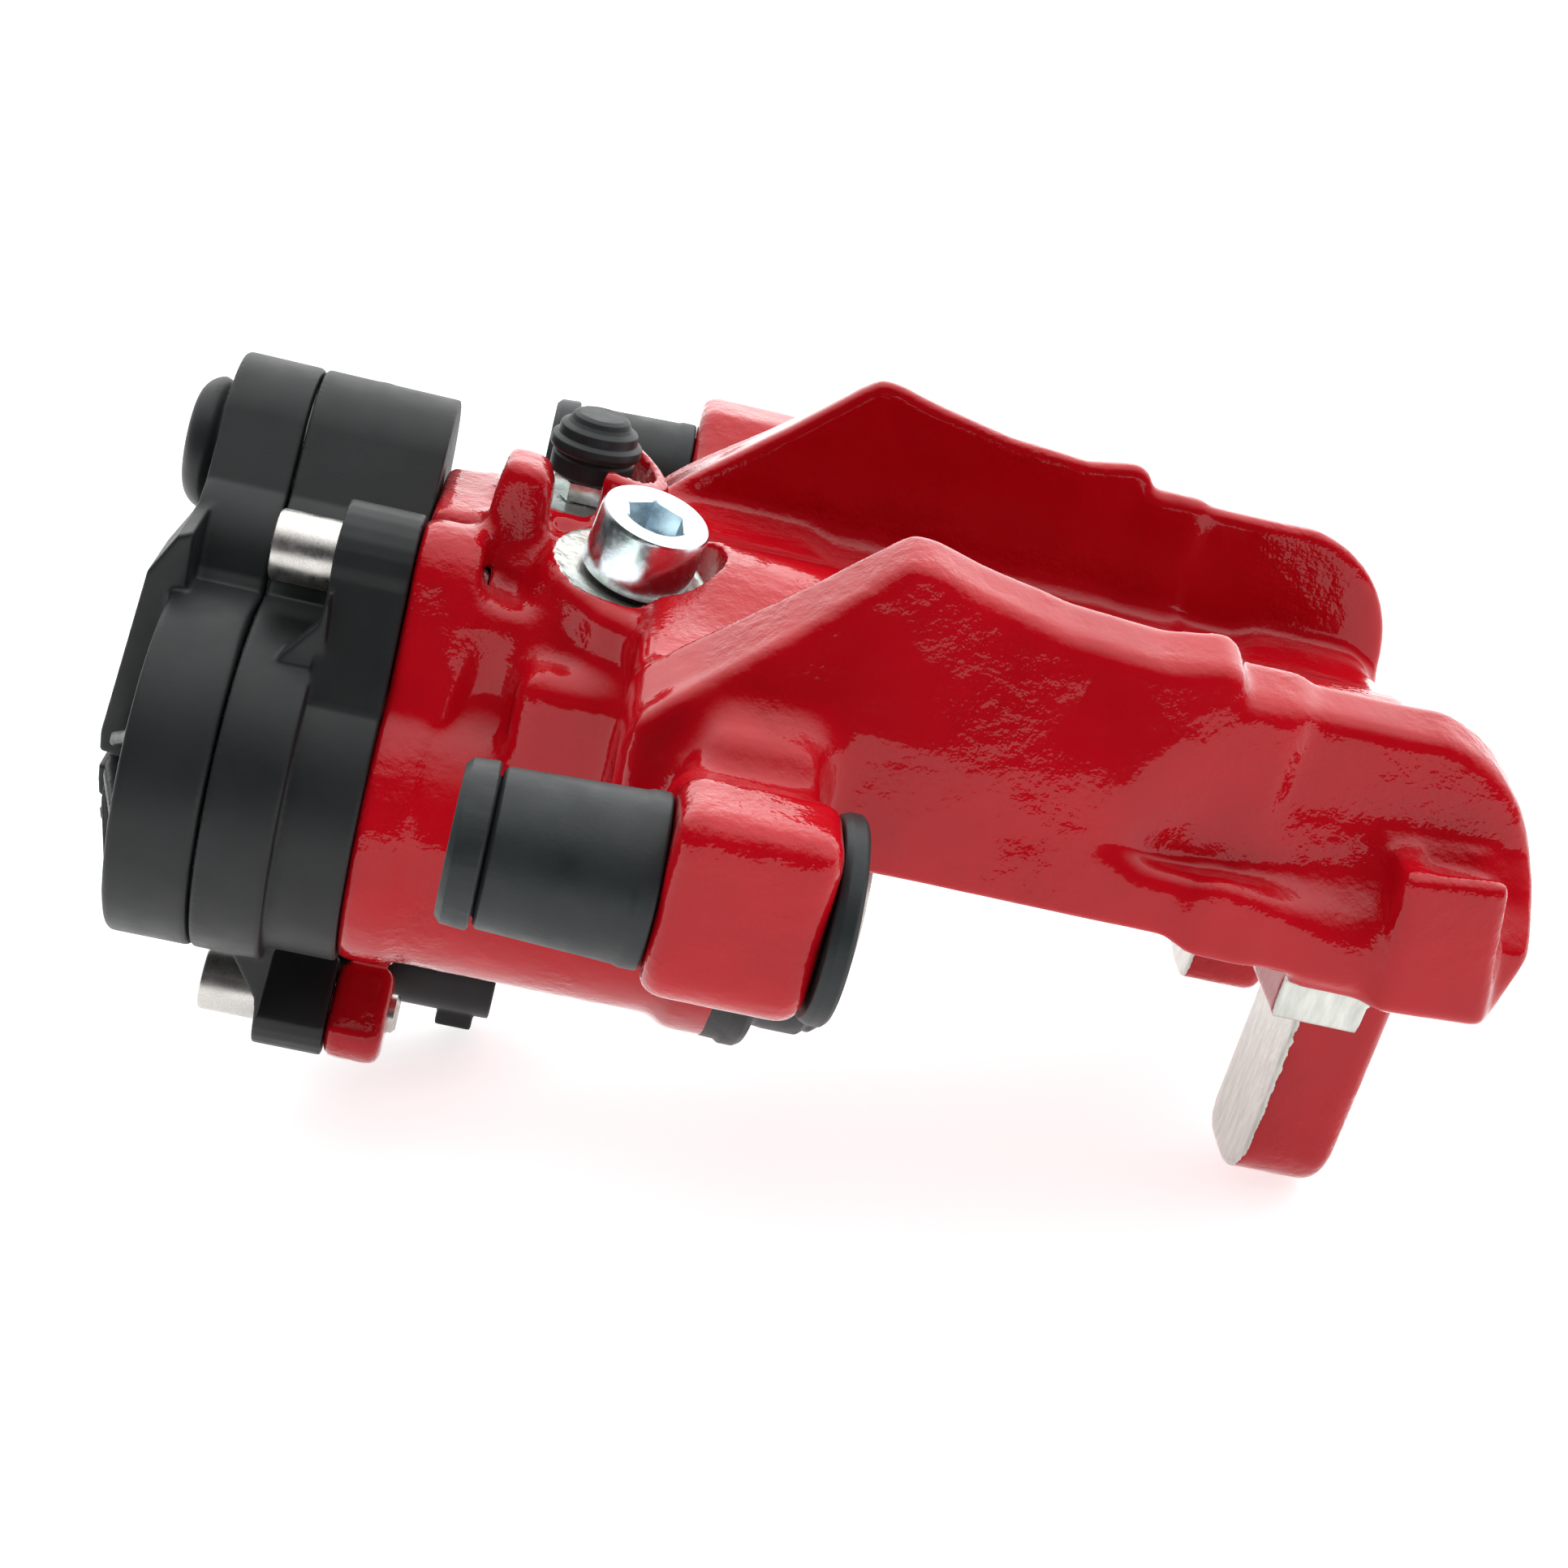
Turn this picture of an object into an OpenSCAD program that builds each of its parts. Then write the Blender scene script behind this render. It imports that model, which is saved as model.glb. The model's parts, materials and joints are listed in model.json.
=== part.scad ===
// Floating rear brake caliper with a rubber-bushed guide on each side and an electric
// parking-brake actuator. X runs along the piston axis towards the fingers, Z is radially
// outwards from the wheel axle, and Y is tangential. Every shape is drawn with x = 0 on the
// actuator's mounting face; at_origin() then moves it so that the origin is the centre of
// the piston's pad face.

/* [Cylinder] */
// Diameter of the piston
piston_d = 36; // [34:0.5:37]
// Outside diameter of the cast cylinder
barrel_d = 46.8; // [46:0.2:50]
// Length of the cast cylinder from the actuator face
barrel_len = 58; // [57:0.5:59]
// How far the piston's pad face stands from the actuator face
pad_face_x = 74; // [73:0.5:76]

/* [Guides] */
// Distance of each guide axis from the piston axis, sideways
guide_y = 73.6; // [70:0.2:76]
// Height of the guide axes above the piston axis
guide_z = 34.5; // [33:0.5:36]
// Diameter of the guide bore in the rubber bush
guide_bore_d = 10; // [9:0.5:11]
// Where the cast ears begin along the piston axis
ear_x = 38.3; // [37:0.1:39]
// Length of the cast ears
ear_len = 19.7; // [18:0.1:20]
// Half the width and height of an ear block
ear_half = 11.6; // [11:0.1:13]

/* [Bridge] */
// Inner face of the fingers, where the outer pad bears
finger_x = 134; // [130:1:138]
// Clear height under the middle of the bridge
tunnel_z = 38; // [37:0.5:40]
// Radius of the space cut for the disc and pads
tunnel_r = 150; // [150:1:165]
// Half the distance between the two upright arms
arm_y = 34; // [32:1:35]
// Height of the top of the arms at the peak
peak_z = 71; // [69:0.5:72]

/* [Actuator] */
// Outside diameter of the gear drum
drum_d = 54; // [54:0.5:55]
// Distance of the motor axis from the piston axis
motor_c = 50; // [50:1:50]
// Direction of the motor from the piston axis, measured from +Y towards +Z
motor_dir = 50.5; // [48:0.5:53]
// Distance of each fixing screw from the piston axis
screw_z = 36.4; // [36:0.1:37]

/* [Hydraulic port] */
// Across the head of the port plug
plug_head_d = 16; // [15:0.5:16.5]
// Lean of the port axis towards the fingers, in degrees
port_lean_x = 7.6; // [0:0.2:10]
// Lean of the port axis towards -Y, in degrees
port_lean_y = 10; // [0:0.5:12]

/* [Hidden] */
$fn = 64;

eps = 0.01;
run_gap = 0.05;                       // radial running clearance

piston_r = piston_d / 2;
bore_r = piston_r + run_gap;
barrel_r = barrel_d / 2;
bore_floor_x = 14;                    // bottom of the piston bore
spigot_depth = 5;                     // recess for the actuator's spigot
spigot_r = 14.8;
spindle_r = 6;                        // where the spindle passes the back wall
thread_r = 5;
piston_back_x = 20;
piston_cup_r = 12;
piston_cup_end_x = 67;
seal_x = 48;
seal_w = 3.5;
seal_r = 20.8;

bush_bore_r = 8.2;                    // hole in each ear
cap_x = 14;                           // free end of the guide caps
bush_x = 16.2;                        // free end of the guide bushes
bush_neck_x = 18.4;                   // end of the neck that the guide cap's skirt covers
bush_neck_r = 8.3;
bush_flange_x = ear_x + ear_len;
bush_end_x = bush_flange_x + 3.5;

port_pos = [30.4, 0, 43.4];
port_hole_r = 5;
spot_r = 11.8;
washer_t = 0.8;
bleeder_pos = [21.5, 25, 45];
bleeder_hole_r = 3.6;
recess_r = 10;

bridge_half = 52;                     // half width of the bridge
finger_in = 16;                       // inner side of each finger
finger_out = 34.5;
finger_t = 13.5;
finger_tip_z = [-16, -11];            // lower ends of the near and far finger

split_x = -20.8;                      // joint between actuator housing and cover
step_x = -10.5;                       // step between the two drum diameters
cover_x = -33;                        // outer face of the cover
wall = 2.2;
drum_r = drum_d / 2;
motor_r = 11.5;
lobe_r = motor_r + 0.3 + wall;
idler_c = 32;
idler_case_r = 15.8;
lug_r = 8.6;
lug_spread = 15;
screw_r = 3.15;
screw_head_r = 5.15;
connector_pos = [18, -36];

module_fine = 0.8;                    // tooth module of the first stage
module_coarse = 1;
pinion_z = 14;
idler_big_z = 31;
idler_small_z = 22;
drive_z = 42;
sun_z = 12;
planet_z = 12;
ring_z = 36;
pressure_angle = 25;
planet_c = module_coarse * (sun_z + planet_z) / 2;
plane_fine_x = -30.4;                 // pinion and large idler gear
plane_coarse_x = -26;                 // small idler gear and drive gear
gear_w = 4;
planet_x = -20.5;
planet_w = 6.7;

// Moves everything so that the origin is the centre of the piston's pad face.
module at_origin() translate([-pad_face_x, 0, 0]) children();

// Extrudes a drawing of the Y-Z plane along X, from x over a thickness t.
module yz_plate(x, t) translate([x, 0, 0]) rotate([90, 0, 90]) linear_extrude(t) children();

// Extrudes a drawing of the X-Z plane along Y, from y over a thickness t.
module xz_plate(y, t) translate([0, y + t, 0]) rotate([90, 0, 0]) linear_extrude(t) children();

// A round bar along X, from x over a length l, at height z and sideways y.
module x_rod(r, x, l, y = 0, z = 0) translate([x, y, z]) rotate([0, 90, 0]) cylinder(r = r, h = l);

// A tube along X.
module x_tube(r_out, r_in, x, l, y = 0, z = 0) difference() {
    x_rod(r_out, x, l, y, z);
    x_rod(r_in, x - 1, l + 2, y, z);
}

// Turns a profile of [x, radius] points about a line parallel to X.
module turned(points, y = 0, z = 0) translate([0, y, z]) rotate([0, 90, 0]) rotate_extrude()
    polygon([for (p = points) [p[1], p[0]]]);

// Places a child at the port's spot face, its z along the leaning port axis.
module at_port() translate(port_pos) rotate([port_lean_y, port_lean_x, 0]) children();

// Repeats a child on the +Y and the -Y side.
module both_sides() {
    children();
    mirror([0, 1, 0]) children();
}

// ---- gear teeth ----

function inv_deg(a) = tan(a) * 180 / PI - a;

// Half the angle that a tooth covers at radius r; slack is the backlash in mm on the flank.
function half_tooth(r, rp, z, slack) =
    let (rb = rp * cos(pressure_angle), a = r > rb ? acos(rb / r) : 0)
    90 / z - slack / (2 * rp) * 180 / PI + inv_deg(pressure_angle) - inv_deg(a);

// Outline of a gear with z teeth of module m, a tooth centred on the first axis.
function gear_outline(z, m, tip = 0.8, root = 1.05, slack = 0.12) =
    let (rp = m * z / 2, rr = rp - root * m, rt = rp + tip * m, rb = rp * cos(pressure_angle))
    let (rs = [rr, max(rr + 0.01, rb + 0.02), rp, rt])
    [for (i = [0 : z - 1]) for (k = [0 : 7])
        let (r = rs[k < 4 ? k : 7 - k], h = half_tooth(r, rp, z, slack), s = k < 4 ? -1 : 1)
        r * [cos(i * 360 / z + s * h), sin(i * 360 / z + s * h)]];

module gear(z, m) polygon(gear_outline(z, m));

// ---- outlines of the actuator, seen along X ----

// Goes to a point on the line from the piston axis to the motor axis.
module towards_motor(c) rotate(motor_dir) translate([c, 0]) children();

// Gear case outline; drum is its round end's radius and inset the wall taken off elsewhere.
module case_outline(drum, inset = 0) {
    circle(drum);
    towards_motor(idler_c) circle(idler_case_r - inset);
    towards_motor(motor_c) circle(lobe_r - inset);
    rotate(motor_dir) translate([0, inset - lobe_r]) square([motor_c, 2 * (lobe_r - inset)]);
}

// Lugs round the two fixing screws, spreading to the drum.
module screw_lugs() {
    for (s = [1, -1]) translate([0, s * screw_z]) circle(lug_r);
    polygon([[-lug_r, screw_z], [lug_r, screw_z], [lug_spread, 20], [-lug_spread, 20]]);
    translate([-lug_r, -screw_z]) square([2 * lug_r, 20]);
}

// ---- cast body ----

// Outline of the bridge seen along X: two upright arms and a trough between them.
module bridge_section() polygon([
    [-bridge_half, 27], [-bridge_half, 36], [-49.5, 52], [-43.6, 67.5], [-36, peak_z],
    [-arm_y, peak_z], [-arm_y, 47.5], [arm_y, 47.5], [arm_y, peak_z], [36, peak_z],
    [43.6, 67.5], [49.5, 52], [bridge_half, 36], [bridge_half, 27]]);

// Outline of the bridge seen along Y, with the peak, the step and the round outboard end.
module bridge_profile() polygon(concat([
    [30, 27], [33, 44], [36.5, 50], [63.6, peak_z], [72, 68.6], [84.4, 66.4], [98, 65.6],
    [104.6, 67], [108.4, 63], [130, 63.2]],
    [for (a = [75 : -15 : -30]) [133 + 21 * cos(a), 43 + 20.5 * sin(a)]],
    [[149, 27]]));

module bridge() intersection() {
    yz_plate(25, 135) bridge_section();
    xz_plate(-60, 120) bridge_profile();
}

// Thick root of the fingers, and the blocks that end the outer rails.
module outboard_end() {
    translate([finger_x - 8.6, -50, 21.5]) cube([11, 100, 22]);
    both_sides() translate([finger_x - 2, 43, 27.5]) cube([18, 12.5, 21.3]);
}

module finger(tip) yz_plate(finger_x, finger_t) {
    translate([finger_in, tip + 9]) square([finger_out - finger_in, 42 - tip]);
    translate([finger_in, tip]) square([finger_out - finger_in - 9, 12]);
    translate([finger_out - 9, tip + 9]) circle(9);
}

module fingers() {
    mirror([0, 1, 0]) finger(finger_tip_z[0]);
    finger(finger_tip_z[1]);
}

// A rectangle from one corner to the other with corners of radius r.
module rounded_rect(low, high, r) {
    for (x = [low[0] + r, high[0] - r], y = [low[1] + r, high[1] - r]) translate([x, y]) circle(r);
    translate([low[0] + r, low[1]]) square([high[0] - low[0] - 2 * r, high[1] - low[1]]);
    translate([low[0], low[1] + r]) square([high[0] - low[0], high[1] - low[1] - 2 * r]);
}

// Ear blocks round the guides and the lower webs that carry them.
module ears() both_sides() {
    yz_plate(ear_x, ear_len) rounded_rect([guide_y - ear_half, guide_z - ear_half],
        [guide_y + ear_half, guide_z + ear_half], 9);
    yz_plate(ear_x + 1.5, ear_len - 2.5) translate([10, 22]) square([guide_y - 20, 21]);
}

// Hollows in the outer faces of the arms, which leave a rail and a block at the outboard end.
module arm_pockets() both_sides() {
    xz_plate(46.5, 20) polygon([[96, 40], [110, 34], [131, 33], [131, 72], [112, 72]]);
    translate([126, 46.5, 48.8]) cube([40, 20, 40]);
}

module flange() {
    yz_plate(0, 9.2) screw_lugs();
    x_rod(24.2, 0, 7);
    x_rod(24.6, 49, 5);
}

// Deck above the cylinder, with the port boss, the bleeder boss and the hose stop.
module deck() {
    translate([0, 0, 12]) linear_extrude(30) polygon([[6, 34], [6, 12], [13, 4], [22, -12],
        [58, -12], [58, 34]]);
    translate([17.7, -19, 8]) cube([26, 28, 25]);
    translate([5, -6, 12]) cube([17, 36, 25]);
    translate([33, -34, 15]) cube([25, 68, 29]);
    at_port() translate([0, 0, -24]) cylinder(r = spot_r + 1, h = 24);
    translate([bleeder_pos[0], bleeder_pos[1], 16]) cylinder(r = recess_r + 2.5, h = 29);
    translate([8.4, 2, 30]) cube([8.1, 12, 24]);
    translate([0, 10, 18]) cube([9, 23, 25]);
}

// Thin wall left standing round the outboard side of the bleeder's spot face.
module bleeder_wall() translate(bleeder_pos) intersection() {
    difference() {
        cylinder(r = recess_r + 2.5, h = 9);
        translate([0, 0, -1]) cylinder(r = recess_r, h = 11);
    }
    translate([2, -20, 0]) cube([20, 30, 9]);
}

module body_bores() {
    x_tube(26, barrel_r, 54.2, 20);
    x_rod(bore_r, bore_floor_x, 100);
    x_rod(spindle_r + run_gap, -1, 30);
    x_rod(spigot_r + 0.1, -1, spigot_depth + 1);
    x_tube(seal_r, piston_r - 1, seal_x, seal_w);
    x_tube(8, spindle_r - 1, 8, 2.4);
    both_sides() x_rod(bush_bore_r, ear_x - 30, 120, guide_y, guide_z);
    for (s = [1, -1]) x_rod(screw_r + run_gap, -1, 14, 0, s * screw_z);
    at_port() translate([0, 0, -30]) cylinder(r = port_hole_r, h = 40);
    at_port() cylinder(r = spot_r, h = 20);
    translate([bleeder_pos[0], 17, 16]) rotate([-12, 0, 0]) cylinder(r = 1.2, h = 40);
    translate([bleeder_pos[0], bleeder_pos[1], 31]) cylinder(r = bleeder_hole_r, h = 40);
}

// Space for the disc, the pads and their carrier.
module tunnel() x_rod(tunnel_r, barrel_len, finger_x - barrel_len, 0, tunnel_z - tunnel_r);

module caliper_body() color("crimson") difference() {
    union() {
        x_rod(barrel_r, 0, barrel_len);
        difference() {
            bridge();
            tunnel();
            arm_pockets();
        }
        difference() {
            outboard_end();
            tunnel();
        }
        fingers();
        ears();
        flange();
        deck();
        bleeder_wall();
    }
    body_bores();
}

// ---- piston and its rubber ----

module piston() color("lightgray") turned([
    [piston_back_x, piston_cup_r], [piston_back_x, piston_r - 1], [piston_back_x + 1, piston_r],
    [pad_face_x - 1, piston_r], [pad_face_x, piston_r - 1], [pad_face_x, 0],
    [piston_cup_end_x, 0], [piston_cup_end_x, piston_cup_r]]);

module piston_seal() color("dimgray") x_tube(seal_r, piston_r + 0.03, seal_x, seal_w);

// The boot grips the outside of the cylinder and stands around the piston's nose.
module dust_boot() color("dimgray") turned([
    [54.5, barrel_r], [54.5, 24.6], [58, 25.6], [61.5, 25.6], [62.3, 22.6], [63.2, 21.8],
    [70, 22], [72.2, 20.8], [73, 18.4], [barrel_len, 18.4], [barrel_len, barrel_r]]);

// ---- guides ----

module guide_bush(side) color("dimgray") turned([
    [bush_x, guide_bore_d / 2], [bush_x, bush_neck_r], [bush_neck_x, bush_neck_r],
    [bush_neck_x, 9.6], [ear_x - 1, 10.6], [ear_x, 10.4],
    [ear_x, bush_bore_r], [bush_flange_x, bush_bore_r], [bush_flange_x, 12.8],
    [bush_end_x - 1, 12.8], [bush_end_x, 12], [bush_end_x, guide_bore_d / 2]],
    side * guide_y, guide_z);

module guide_cap(side) color("dimgray") turned([
    [cap_x, 0], [cap_x, 9.2], [cap_x + 1, 10.2], [bush_x, 10.2], [bush_x, 9.4],
    [bush_neck_x - 0.3, 9.4], [bush_neck_x - 0.3, bush_neck_r + 0.05], [bush_x - 0.3, bush_neck_r + 0.05],
    [bush_x - 0.3, 0]], side * guide_y, guide_z);

module guide_bush_near() guide_bush(-1);
module guide_bush_far() guide_bush(1);
module guide_cap_near() guide_cap(-1);
module guide_cap_far() guide_cap(1);

// ---- hydraulic fittings ----

module port_plug() color("lightsteelblue") at_port() difference() {
    union() {
        translate([0, 0, washer_t + 0.05]) cylinder(r = plug_head_d / 2, h = 10);
        translate([0, 0, -10]) cylinder(r = port_hole_r - 0.1, h = 11);
    }
    translate([0, 0, washer_t + 5]) cylinder(r = 4.62, h = 10, $fn = 6);
}

module port_seal() color("dimgray") at_port() difference() {
    cylinder(r = 7, h = washer_t);
    translate([0, 0, -1]) cylinder(r = port_hole_r, h = 3);
}

module bleeder_screw() color("lightsteelblue") translate(bleeder_pos) difference() {
    union() {
        translate([0, 0, -12]) cylinder(r = bleeder_hole_r - run_gap, h = 13);
        translate([0, 0, 0.3]) cylinder(r = 5.2, h = 2.8, $fn = 6);
        cylinder(r = 3, h = 11.6);
    }
    translate([0, 0, -13]) cylinder(r = 1, h = 40);
}

module bleeder_cap() color("dimgray") translate(bleeder_pos) difference() {
    union() {
        translate([0, 0, 3.5]) cylinder(r = 6.4, h = 4.1);
        translate([0, 0, 7.6]) cylinder(r = 7, h = 2.2);
        translate([0, 0, 9.8]) cylinder(r = 6, h = 1.8);
        translate([0, 0, 11.6]) cylinder(r = 4.6, h = 1.7);
    }
    translate([0, 0, 2]) cylinder(r = 3.1, h = 10);
}

// ---- actuator ----

module actuator_housing() color([0.2, 0.21, 0.22]) difference() {
    union() {
        yz_plate(split_x, step_x - split_x) case_outline(drum_r);
        yz_plate(step_x, -step_x) case_outline(drum_r - 2);
        yz_plate(-10.8, 10.8) screw_lugs();
        gussets();
        x_rod(spigot_r, -1, spigot_depth);
        x_rod(7.8, -9, 33.5, connector_pos[0], connector_pos[1]);
        yz_plate(-9, 8) translate([connector_pos[0] - 7, connector_pos[1]]) square([14, 30]);
        translate([16, connector_pos[0] - 3, connector_pos[1] - 10.5]) cube([6, 6, 6]);
    }
    yz_plate(split_x - 1, step_x - split_x + 0.5) case_outline(drum_r - wall, wall);
    yz_plate(step_x - 1, -step_x - 1.5) case_outline(drum_r - 2 - wall, wall);
    x_rod(12.4, -3, 20);
    for (s = [1, -1]) x_rod(screw_r + run_gap, -12, 20, 0, s * screw_z);
    x_rod(6, 8, 20, connector_pos[0], connector_pos[1]);
    x_tube(spigot_r + 1, 13.6, 1.4, 2);
}

// Slanting webs from the screw lugs back to the drum.
module gussets() for (y = [-12.5, 9.3]) {
    xz_plate(y, 3.2) polygon([[-10, 36], [-10.8, 31], [-16.8, 23], [-9, 22]]);
    xz_plate(y, 3.2) polygon([[-10, -32], [-10.8, -30], [-15.8, -24], [-9, -22]]);
}

module actuator_seal() color("black") x_tube(spigot_r, 13.6, 1.4, 2);

// Closed end of the case, with the raised duct, its ribs and the dome over the pinion's end.
module actuator_cover() color([0.2, 0.21, 0.22]) {
    difference() {
        yz_plate(cover_x, split_x - cover_x) case_outline(drum_r);
        yz_plate(cover_x + 2, 20) case_outline(drum_r - wall, wall);
    }
    hub();
    rotate([motor_dir - 90, 0, 0]) turned([[cover_x + 1, 0], [cover_x + 1, 10], [-35.5, 10],
        [-37.6, 8.4], [-38.5, 5.6], [-38.6, 0]], 0, motor_c);
    for (a = [150, 178, 205, 232, 262, 300, 340]) rotate([a, 0, 0]) cover_rib();
}

// Raised block in the middle of the cover, with two slots across it.
module hub() difference() {
    xz_plate(-2, 14) polygon([[-32, 36], [-33.2, 35], [-36.8, 28.5], [-40.2, 2], [-39.6, -6],
        [-38.6, -12], [-34.4, -16], [-32, -17]]);
    for (z = [-3.2, -10.4]) translate([-45, -3, z]) cube([7, 16, 2.2]);
}

// A rib from the hub to the cover's rim.
module cover_rib() translate([0, 0, -0.9]) linear_extrude(1.8)
    polygon([[-31.5, 6], [-37.8, 6], [-37.2, 11], [-32.6, 26], [-31.5, 26]]);

module actuator_screws() color("lightgray") for (s = [1, -1]) translate([0, 0, s * screw_z])
    difference() {
        union() {
            x_rod(screw_head_r, -20, 9.2);
            x_rod(screw_r, -11, 21.4);
        }
        translate([-21, 0, 0]) rotate([0, 90, 0]) cylinder(r = 2.9, h = 5, $fn = 6);
    }

module connector_pins() color("gold") for (s = [1, -1])
    x_rod(0.6, 6.5, 13, connector_pos[0] + s * 2.2, connector_pos[1] - 3.2);

// Puts a child on the motor's axis, keeping its direction.
module on_motor_line(c) translate([0, c * cos(motor_dir), c * sin(motor_dir)]) children();

module motor_can() color("silver") on_motor_line(motor_c) difference() {
    union() {
        x_rod(motor_r, -21.6, 18.4);
        x_rod(4, -22.6, 2);
    }
    x_rod(1.6, -24, 16);
}

module motor_pinion() color("darkgray") on_motor_line(motor_c) {
    yz_plate(plane_fine_x, gear_w) rotate(motor_dir + 180 + 180 / pinion_z) gear(pinion_z, module_fine);
    x_rod(1.5, plane_fine_x, 20);
}

module idler_gear() color("ivory") on_motor_line(idler_c) difference() {
    union() {
        yz_plate(plane_fine_x, gear_w) rotate(motor_dir) gear(idler_big_z, module_fine);
        yz_plate(plane_coarse_x - 0.5, gear_w) rotate(motor_dir + 180 + 180 / idler_small_z)
            gear(idler_small_z, module_coarse);
    }
    x_rod(2 + run_gap, -35, 20);
}

module idler_pin() color("silver") on_motor_line(idler_c) x_rod(2, cover_x + 2, 9.5);

module drive_gear() color("ivory") difference() {
    union() {
        yz_plate(plane_coarse_x, gear_w) rotate(motor_dir) gear(drive_z, module_coarse);
        yz_plate(plane_coarse_x, 12.4) gear(sun_z, module_coarse);
    }
    x_rod(2.5 + run_gap, -35, 30);
}

module gear_axle() color("silver") x_rod(2.5, cover_x + 2, 20.5);

// One planet gear; a is its place around the sun.
module planet_gear(a) color("gainsboro") translate([0, planet_c * cos(a), planet_c * sin(a)])
    difference() {
        yz_plate(planet_x, planet_w) rotate(a + 180 + 180 / planet_z) gear(planet_z, module_coarse);
        x_rod(2 + run_gap, -30, 20);
    }

module planet_gear_a() planet_gear(90);
module planet_gear_b() planet_gear(210);
module planet_gear_c() planet_gear(330);

module ring_gear() color("gainsboro") yz_plate(-20.6, 7.4) difference() {
    circle(drum_r - wall - 0.1);
    rotate(180 / ring_z) polygon(gear_outline(ring_z, module_coarse, 1.05, 0.8, -0.12));
}

module planet_carrier() color("slategray") difference() {
    union() {
        x_rod(16, -13, 3.5);
        x_rod(9, -10, 13);
        for (a = [90 : 120 : 330]) x_rod(2, planet_x, 8, planet_c * cos(a), planet_c * sin(a));
    }
    x_rod(4.5 + run_gap, -6.5, 12);
    x_rod(2.5 + run_gap, -14, 4);
}

// ---- parking-brake screw ----

module spindle() color("slategray") {
    x_rod(4.5, -6, 12);
    x_rod(spindle_r, 5, 12);
    x_rod(11, 16.3, 2.7);
    x_rod(thread_r, 18, 44);
}

module spindle_nut() color("darkgray") difference() {
    union() {
        x_rod(8.5, 30, 28);
        x_rod(11.6, 50, 8);
    }
    x_rod(thread_r + run_gap, 29, 30);
}

module spindle_clip() color("silver") x_tube(8, 4.5, 3.6, 1.2);

module spindle_seal() color("black") x_tube(8, spindle_r + run_gap, 8, 2.4);

module thrust_bearing() color("silver") x_tube(12, 6.4, bore_floor_x, 2.25);

at_origin() caliper_body();
at_origin() piston();
at_origin() piston_seal();
at_origin() dust_boot();
at_origin() guide_bush_near();
at_origin() guide_bush_far();
at_origin() guide_cap_near();
at_origin() guide_cap_far();
at_origin() port_plug();
at_origin() port_seal();
at_origin() bleeder_screw();
at_origin() bleeder_cap();
at_origin() actuator_housing();
at_origin() actuator_cover();
at_origin() actuator_seal();
at_origin() actuator_screws();
at_origin() connector_pins();
at_origin() motor_can();
at_origin() motor_pinion();
at_origin() idler_gear();
at_origin() idler_pin();
at_origin() drive_gear();
at_origin() gear_axle();
at_origin() planet_gear_a();
at_origin() planet_gear_b();
at_origin() planet_gear_c();
at_origin() ring_gear();
at_origin() planet_carrier();
at_origin() spindle();
at_origin() spindle_nut();
at_origin() spindle_clip();
at_origin() spindle_seal();
at_origin() thrust_bearing();
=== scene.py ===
import json
import math

import bmesh
import bpy
import numpy as np
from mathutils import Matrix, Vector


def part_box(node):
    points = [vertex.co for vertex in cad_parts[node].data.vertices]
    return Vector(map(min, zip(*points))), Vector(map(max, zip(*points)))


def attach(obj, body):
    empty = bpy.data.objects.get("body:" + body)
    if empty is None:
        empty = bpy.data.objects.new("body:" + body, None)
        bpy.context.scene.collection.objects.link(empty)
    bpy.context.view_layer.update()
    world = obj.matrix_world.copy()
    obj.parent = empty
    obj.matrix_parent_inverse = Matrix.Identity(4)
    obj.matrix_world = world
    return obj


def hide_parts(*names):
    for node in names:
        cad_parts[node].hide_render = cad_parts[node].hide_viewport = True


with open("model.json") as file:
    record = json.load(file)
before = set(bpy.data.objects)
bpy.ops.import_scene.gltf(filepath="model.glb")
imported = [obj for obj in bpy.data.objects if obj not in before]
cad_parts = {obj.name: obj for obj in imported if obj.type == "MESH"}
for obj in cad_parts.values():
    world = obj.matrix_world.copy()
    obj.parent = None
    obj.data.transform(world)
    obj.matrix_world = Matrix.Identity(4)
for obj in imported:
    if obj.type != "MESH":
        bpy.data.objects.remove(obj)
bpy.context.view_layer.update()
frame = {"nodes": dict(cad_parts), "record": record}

import openvdb
from mathutils import Matrix, Vector

MM = 0.001
RECORD = frame["record"]
MOUNTS = {m["name"]: m for m in RECORD["mounts"]}
JOINTS = {j["name"]: j for j in RECORD["behaviour"]["joints"]}

# ---- places, read from the frame; lengths in millimetres, x measured from the actuator's face ----


def box_mm(node):
    """A node's lowest and highest corner in millimetres, with x from the actuator's face."""
    low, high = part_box(node)
    shift = np.array([FACE_X, 0, 0])
    return (np.array(low) - shift) / MM, (np.array(high) - shift) / MM


def middle(node):
    """The centre of a node's box, in the same terms."""
    low, high = box_mm(node)
    return (low + high) / 2


def joint_yz(name):
    """Where a joint parallel to X crosses the Y-Z plane."""
    return JOINTS[name]["pos_m"][1] / MM, JOINTS[name]["pos_m"][2] / MM


FACE_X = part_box("caliper_body")[0][0]
GUIDE_Y = MOUNTS["guide_bore_far"]["pos_m"][1] / MM
GUIDE_Z = MOUNTS["guide_bore_far"]["pos_m"][2] / MM
GUIDE_R = MOUNTS["guide_bore_far"]["dims"]["r_mm"]
FINGER_X = (MOUNTS["finger_face_far"]["pos_m"][0] - FACE_X) / MM
PAD_X = -FACE_X / MM
MOTOR_Y, MOTOR_Z = joint_yz("pinion_turn")
IDLER_Y, IDLER_Z = joint_yz("idler_turn")
PORT = np.array(JOINTS["port_plug_turn"]["pos_m"]) / MM + [PAD_X, 0, 0]
PORT_AXIS = np.array(JOINTS["port_plug_turn"]["axis"])
BLEEDER = np.array(JOINTS["bleeder_screw_turn"]["pos_m"]) / MM + [PAD_X, 0, 0]
SCREW_HEAD_R = 5.15
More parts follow.
